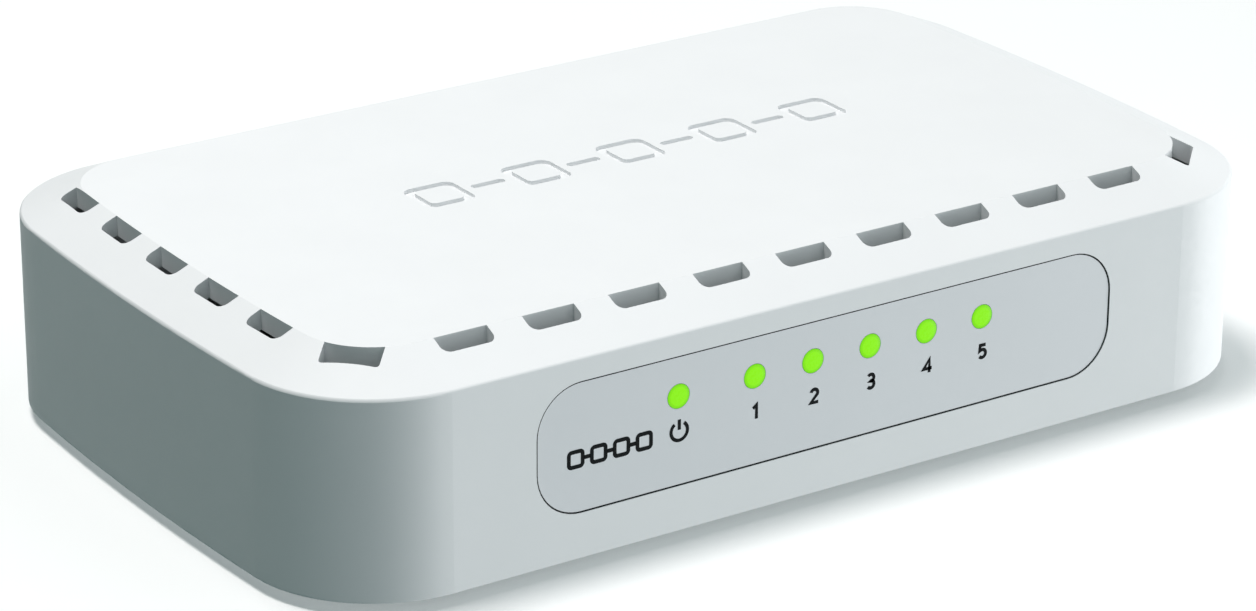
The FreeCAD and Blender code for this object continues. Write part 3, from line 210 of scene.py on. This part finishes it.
MATERIALS = {
    "case_plastic": plastic("case_white", (0.84, 0.85, 0.862), (0.50, 0.60), grain=0.16, depth=0.003,
                            variation=0.008, gloss=0.28),
    "base_plastic": plastic("base_grey", (0.62, 0.645, 0.645), (0.5, 0.62), grain=0.22, depth=0.008),
    "label_film": plastic("label_grey", (0.755, 0.770, 0.795), (0.34, 0.42), grain=0.10, depth=0.0015,
                          variation=0.01, patch=14.0, gloss=0.35),
    "rating_paper": paper_material(),
    "lamp_guide": guide_material(),
    "lamp_lit": lens_material(),
    "foot_rubber": plastic("foot_rubber", (0.035, 0.036, 0.038), (0.72, 0.86), grain=0.12, depth=0.01,
                           variation=0.15, patch=2.0),
    "screw_steel": metal("screw_zinc", (0.62, 0.63, 0.64), (0.25, 0.42)),
    "board_laminate": board_material(),
    "port_plastic": plastic("port_black", (0.016, 0.016, 0.018), (0.38, 0.5), grain=0.14, depth=0.004,
                            variation=0.12),
    "shield_metal": metal("tinned_shield", (0.74, 0.75, 0.75), (0.24, 0.36), (1.0, 6.0, 1.0)),
    "contact_gold": metal("contact_gold", (0.86, 0.60, 0.20), (0.16, 0.28)),
    "inlet_plastic": plastic("inlet_black", (0.014, 0.014, 0.016), (0.34, 0.46), grain=0.14, depth=0.004,
                             variation=0.12),
    "inlet_metal": metal("inlet_nickel", (0.72, 0.71, 0.68), (0.12, 0.22)),
    "chip_epoxy": plastic("chip_epoxy", (0.022, 0.022, 0.025), (0.55, 0.7), grain=0.10, depth=0.006,
                          variation=0.2, patch=4.0),
    "pad_silicone": plastic("pad_silicone", (0.42, 0.48, 0.58), (0.7, 0.8), grain=0.4, depth=0.01),
    "sink_aluminium": metal("sink_aluminium", (0.76, 0.77, 0.79), (0.3, 0.45), (1.0, 0.15, 1.0)),
    "crystal_metal": metal("crystal_can", (0.70, 0.70, 0.70), (0.2, 0.32)),
    "ferrite": plastic("ferrite", (0.05, 0.05, 0.055), (0.6, 0.75), grain=0.2, depth=0.01, variation=0.2,
                       patch=3.0),
    "can_aluminium": metal("can_aluminium", (0.70, 0.71, 0.73), (0.2, 0.3)),
    "led_epoxy": plastic("led_epoxy", (0.68, 0.78, 0.55), (0.15, 0.25), grain=0.3, depth=0.002),
    "resistor_ceramic": plastic("resistor_glaze", (0.02, 0.02, 0.022), (0.2, 0.35), grain=0.3, depth=0.003),
    "capacitor_ceramic": plastic("capacitor_body", (0.34, 0.22, 0.12), (0.35, 0.5), grain=0.3, depth=0.004),
    # painted shade: a near-black sheet that stands for the shade in the gap around the label
    "painted_gap_shade": plastic("gap_shade_paint", (0.006, 0.008, 0.009), (0.6, 0.8), grain=0.08, depth=0.001,
                      variation=0.1, patch=1.0, gloss=0.15),
    "ink": plastic("legend_ink", (0.004, 0.006, 0.007), (0.55, 0.65), grain=0.08, depth=0.001,
                   variation=0.1, patch=1.0, gloss=0.06),
}


def dress_frame():
    """Each CAD node takes the material of its slot in the record."""
    for subpart in frame["record"]["subparts"]:
        mesh = NODES[subpart["node"]].data
        mesh.materials.clear()
        mesh.materials.append(MATERIALS[subpart["material_slot"]])


# ---------------------------------------------------------------- pieces
def piece_of(name, vertices, faces, material, place=(0, 0, 0)):
    """A new piece from plain lists, which rides on the case."""
    mesh = bpy.data.meshes.new(name)
    mesh.from_pydata(vertices, [], faces)
    mesh.materials.append(MATERIALS[material])
    piece = bpy.data.objects.new(name, mesh)
    piece.location = place
    bpy.context.scene.collection.objects.link(piece)
    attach(piece, "root")
    return piece


def ribbon(line, width, closed=False):
    """Pairs of points at the two sides of a stroke along points (u, v)."""
    points = [Vector(point) for point in line]
    pairs = []
    for index, here in enumerate(points):
        ways = []
        if closed or index > 0:
            ways.append((here - points[index - 1]).normalized())
        if closed or index < len(points) - 1:
            ways.append((points[(index + 1) % len(points)] - here).normalized())
        along = sum(ways, Vector((0, 0))).normalized()
        across = Vector((-along.y, along.x))
        first_across = Vector((-ways[0].y, ways[0].x))
        reach = width / 2 / max(0.5, abs(across.dot(first_across)))
        pairs.append((here - across * reach, here + across * reach))
    return pairs


def printed(name, strokes, width, lay):
    """Ink strokes, each a list of (u, v) points in millimetres; lay puts them on a surface."""
    vertices, faces = [], []
    for stroke in strokes:
        closed = stroke[0] == stroke[-1]
        line = stroke[:-1] if closed else stroke
        pairs = ribbon(line, width, closed)
        first = len(vertices)
        for pair in pairs:
            vertices += [lay(point.x * MM, point.y * MM) for point in pair]
        for index in range(len(pairs) if closed else len(pairs) - 1):
            a = first + 2 * index
            b = first + 2 * ((index + 1) % len(pairs))
            faces.append((a, b, b + 1, a + 1))
    return piece_of(name, vertices, faces, "ink")


def bow(x, y, radius, start, end, steps=18):
    """Points of an arc, in degrees."""
    angles = [math.radians(start + (end - start) * step / steps) for step in range(steps + 1)]
    return [(x + radius * math.cos(angle), y + radius * math.sin(angle)) for angle in angles]


def box_line(x, y, half, corner):
    """A closed square with round corners."""
    line = []
    for across, along, start in ((1, 1, 0), (-1, 1, 90), (-1, -1, 180), (1, -1, 270)):
        centre = (x + across * (half - corner), y + along * (half - corner))
        line += bow(*centre, corner, start, start + 90, steps=6)
    return line + line[:1]


# Figures one unit high about their middle
FIGURES = {
    "1": [[(-0.24, 0.27), (0.04, 0.5), (0.04, -0.5)]],
    "2": [bow(0.0, 0.22, 0.27, 165, -25) + [(-0.28, -0.45), (0.33, -0.45)]],
    "3": [bow(-0.03, 0.23, 0.25, 145, -80) + [(-0.10, -0.015)] + bow(-0.03, -0.235, 0.27, 80, -145)],
    "4": [[(0.15, -0.5), (0.15, 0.46), (-0.34, -0.20), (0.36, -0.20)]],
    "5": [[(0.26, 0.45), (-0.20, 0.45), (-0.24, 0.04)] + bow(-0.02, -0.17, 0.29, 115, -140)],
}


def figure(text, x, y, height):
    """The strokes of one figure, so high, about its middle."""
    return [[(x + u * height, y + v * height) for u, v in stroke] for stroke in FIGURES[text]]


def power_mark(x, y, radius):
    """A ring that is open at the top, with a bar in the opening."""
    return [bow(x, y, radius, 125, 415, steps=30), [(x, y + 0.15 * radius), (x, y + 1.28 * radius)]]


def on_label(u, v):
    return (u, LABEL_LOW.y - INK, v)


def on_rating(u, v):
    return (u, v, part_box("rating_label")[0].z - INK)


def label_print():
    """The power mark, the lamps' figures and a generic chain of squares."""
    mark = power_mark(*POWER_MARK, POWER_MARK_RADIUS)
    printed("legend_power", mark, LEGEND_STROKE, on_label)
    for number, x in enumerate(FIGURE_X, 1):
        strokes = figure(str(number), x, FIGURE_Z, FIGURE_HEIGHT)
        printed(f"legend_port_{number}", strokes, LEGEND_STROKE, on_label)
    start, level = CHAIN_START
    chain = [box_line(start + CHAIN_PITCH * number, level, CHAIN_HALF, CHAIN_ROUND)
             for number in range(CHAIN_COUNT)]
    # a link reaches a little into the strokes of the squares that it joins
    link_start, link_end = 0.96, 1.71
    for number in range(CHAIN_COUNT - 1):
        x = start + CHAIN_PITCH * number
        chain.append([(x + link_start, level), (x + link_end, level)])
    printed("legend_network", chain, CHAIN_STROKE, on_label)


def label_groove():
    """Painted shade: a dark sheet along the label's edge, over the gap around it, where the recess lies in
    shade.
    """
    vertices, faces = [], []
    steps = 16
    depth = LABEL_LOW.y - INK
    middle = (LABEL_LOW + LABEL_HIGH) / 2
    half = (LABEL_HIGH - LABEL_LOW) / 2
    onto_label = LABEL_GAP * 0.2
    for across, along, start in ((1, 1, 0), (-1, 1, 90), (-1, -1, 180), (1, -1, 270)):
        for step in range(steps + 1):
            angle = math.radians(start + 90 * step / steps)
            for radius in (LABEL_ROUND - onto_label, LABEL_ROUND + LABEL_GAP):
                u = across * (half.x - LABEL_ROUND) + radius * math.cos(angle)
                v = along * (half.z - LABEL_ROUND) + radius * math.sin(angle)
                vertices.append((middle.x + u, depth, middle.z + v))
    count = len(vertices) // 2
    for index in range(count):
        a, b = 2 * index, 2 * ((index + 1) % count)
        faces.append((a, a + 1, b + 1, b))
    piece_of("label_gap_painted_shade", vertices, faces, "painted_gap_shade")


def lenses():
    """Six slightly domed lit ends, one on each arm of the guide."""
    rings, turns = 6, 40
    lamps = {"power": "power_led", **{f"port_{number}": f"port_led_{number}" for number in range(1, 6)}}
    for name, lamp in lamps.items():
        lamp_low, lamp_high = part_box(lamp)
        x = (lamp_low.x + lamp_high.x) / 2
        vertices = [(0, -LENS_DOME, 0)]
        faces = []
        for ring in range(1, rings + 1):
            share = ring / rings
            for turn in range(turns):
                angle = 2 * math.pi * turn / turns
                reach = LAMP_RADIUS * share
                rise = LENS_DOME * (1 - share ** 4)
                vertices.append((reach * math.cos(angle), -rise, reach * math.sin(angle)))
        for turn in range(turns):
            after = (turn + 1) % turns
            faces.append((0, 1 + turn, 1 + after))
            for ring in range(rings - 1):
                a = 1 + ring * turns
                faces.append((a + turn, a + turns + turn, a + turns + after, a + after))
        place = (x, LABEL_LOW.y, LAMP_Z)
        lens = piece_of(f"lens_{name}", vertices, faces, "lamp_lit", place)
        lens.data.shade_smooth()


def rating_print():
    """Generic marks only: a frame, blank rules, a bar field, a plug's polarity sign, a double square."""
    border = [(-21.4, -23.2), (21.4, -23.2), (21.4, -4.8), (-21.4, -4.8), (-21.4, -23.2)]
    rules = [[(-18.5, -8.0 - 2.1 * row), (-18.5 + reach, -8.0 - 2.1 * row)]
             for row, reach in enumerate((17.0, 13.5, 15.5, 10.0))]
    printed("rating_rules", [border] + rules, 0.22, on_rating)
    bars = []
    x = 3.0
    for gap in (0.9, 0.6, 1.3, 0.6, 0.9, 0.6, 0.6, 1.2, 0.9, 0.6, 1.3, 0.6, 0.9, 1.2, 0.6, 0.9):
        bars.append([(x, -12.2), (x, -7.6)])
        x += gap
    printed("rating_bars", bars, 0.34, on_rating)
    level = -19.8
    polarity = [bow(-14.5, level, 1.1, 0, 359, steps=28), bow(-14.5, level, 0.22, 0, 359, steps=10),
                [(-18.4, level), (-15.6, level)], [(-14.3, level), (-10.6, level)],
                [(-20.2, level), (-19.2, level)],
                [(-9.8, level), (-8.6, level)], [(-9.2, level - 0.6), (-9.2, level + 0.6)]]
    double_square = [box_line(-3.2, level, half, 0.05) for half in (1.5, 0.85)]
    printed("rating_signs", polarity + double_square, 0.24, on_rating)


# ---------------------------------------------------------------- stage, light and camera
def floor():
    """A pale sheet a hair below the feet; the room's light stands for what it would bounce."""
    half = 3.0
    mesh = bpy.data.meshes.new("floor")
    level = -0.05 * MM
    corners = [(-half, -half, level), (half, -half, level), (half, half, level), (-half, half, level)]
    mesh.from_pydata(corners, [], [(0, 1, 2, 3)])
    plane = bpy.data.objects.new("floor", mesh)
    bpy.context.scene.collection.objects.link(plane)
    material, _, shader = new_material("floor_pale")
    shader.inputs["Base Color"].default_value = (0.86, 0.87, 0.87, 1)
    shader.inputs["Roughness"].default_value = 0.7
    shader.inputs["Specular IOR Level"].default_value = 0.2
    shader.inputs["Emission Color"].default_value = (1, 1, 1, 1)
    shader.inputs["Emission Strength"].default_value = 0.12
    mesh.materials.append(material)
    plane.visible_diffuse = False
    plane.visible_shadow = False


def softbox(name, location, target, size, power, colour=(1, 1, 1)):
    """A rectangular soft light that faces the target."""
    light = bpy.data.lights.new(name, "AREA")
    light.shape = "RECTANGLE"
    light.size, light.size_y = size
    light.energy = power
    light.color = colour
    lamp = bpy.data.objects.new(name, light)
    lamp.location = location
    lamp.rotation_euler = (Vector(target) - Vector(location)).to_track_quat("-Z", "Y").to_euler()
    bpy.context.scene.collection.objects.link(lamp)


def studio():
    """A room that is dim on the case's left and bright on its right, and soft boxes."""
    world = bpy.data.worlds.new("studio")
    world.use_nodes = True
    bpy.context.scene.world = world
    tree = world.node_tree
    direction = tree.nodes.new("ShaderNodeTexCoord")
    dot = tree.nodes.new("ShaderNodeVectorMath")
    dot.operation = "DOT_PRODUCT"
    dot.inputs[1].default_value = Vector((0.85, -0.53, 0.0)).normalized()
    spread = tree.nodes.new("ShaderNodeMapRange")
    spread.inputs["From Min"].default_value = -1.0
    tree.links.new(direction.outputs["Generated"], dot.inputs[0])
    tree.links.new(dot.outputs["Value"], spread.inputs["Value"])
    shades = ramp(tree, spread.outputs["Result"], (0.012, 0.072, 0.068), (0.74, 0.80, 0.81), 0.35, 0.85)
    tree.links.new(shades, tree.nodes["Background"].inputs["Color"])
    tree.nodes["Background"].inputs["Strength"].default_value = 0.9
    softbox("top_box", (-0.17, 0.10, 0.9), target=(0, 0, 0), size=(0.30, 0.30), power=7.25,
            colour=(1.0, 0.965, 0.955))
    softbox("right_box", (0.76, -0.38, -0.20), target=(0, 0, 0.01), size=(0.4, 0.3), power=4.4)
    bpy.context.scene.view_settings.view_transform = "Standard"


# The view from the front left and above, about the middle of the case's underside, in metres
AZIMUTH = math.radians(33.824)
ELEVATION = math.radians(22.296)
ROLL = math.radians(0.292)
DISTANCE = 0.495268
OFF_CENTRE = (0.000472, -0.006982)

# A long lens, in millimetres
SENSOR_WIDTH = 36.0
LENS = 132.0879


def camera():
    """The camera that sees the case from that view."""
    away = Vector((-math.sin(AZIMUTH), -math.cos(AZIMUTH), 0))
    back = away * math.cos(ELEVATION) + Vector((0, 0, math.sin(ELEVATION)))
    level = Vector((math.cos(AZIMUTH), -math.sin(AZIMUTH), 0))
    rise = back.cross(level)
    right = math.cos(ROLL) * level + math.sin(ROLL) * rise
    up = math.cos(ROLL) * rise - math.sin(ROLL) * level
    data = bpy.data.cameras.new("camera")
    data.sensor_width = SENSOR_WIDTH
    data.lens = LENS
    view = bpy.data.objects.new("camera", data)
    foot = Vector((0, 0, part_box("bottom_cover")[0].z))
    spot = foot + back * DISTANCE - right * OFF_CENTRE[0] - up * OFF_CENTRE[1]
    turn = Matrix((right, up, back)).transposed().to_4x4()
    view.matrix_world = Matrix.Translation(spot) @ turn
    bpy.context.scene.collection.objects.link(view)
    bpy.context.scene.camera = view


dress_frame()
label_print()
label_groove()
lenses()
rating_print()
floor()
studio()
camera()
